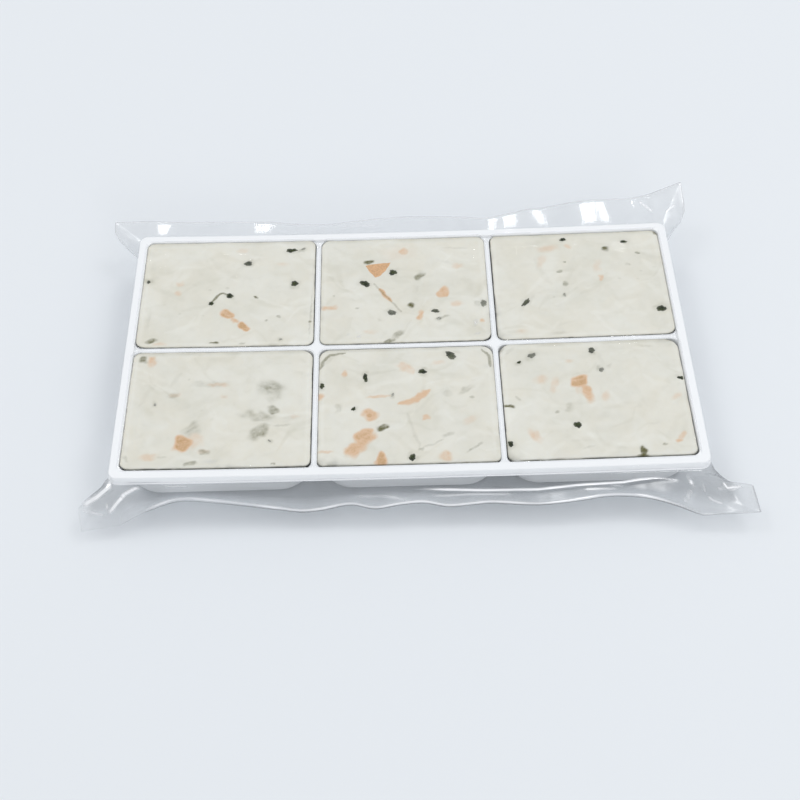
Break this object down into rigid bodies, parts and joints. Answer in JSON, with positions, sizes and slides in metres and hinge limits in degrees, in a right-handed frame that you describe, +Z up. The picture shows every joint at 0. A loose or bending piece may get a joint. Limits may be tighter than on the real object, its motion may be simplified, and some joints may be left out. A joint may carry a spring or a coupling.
{
  "type": "radish cake",
  "caption": "Steamed radish cake with flecks of greens and carrot, set in the wells of a white divided tray and sealed in a clear bag with loose flaps.",
  "frame": {"origin": "middle of the flat underside that the pack rests on, below the centre of the tray", "axes": "+X along the tray's long side, to the right in the picture; +Y away from the viewer, towards the wider flap; +Z up"},
  "size_m": [0.2553, 0.1605, 0.0205],
  "materials": {
    "white_tray": "satin white, under clinging film",
    "radish_cake": "moist off-white dough with green and orange flecks",
    "clear_film": "thin glossy clear film with soft creases"
  },
  "bodies": {
    "root": {"tray": "white_tray", "cake_1": "radish_cake", "cake_2": "radish_cake", "cake_3": "radish_cake", "cake_4": "radish_cake", "cake_5": "radish_cake", "cake_6": "radish_cake", "bag": "clear_film"}
  },
  "joints": []
}
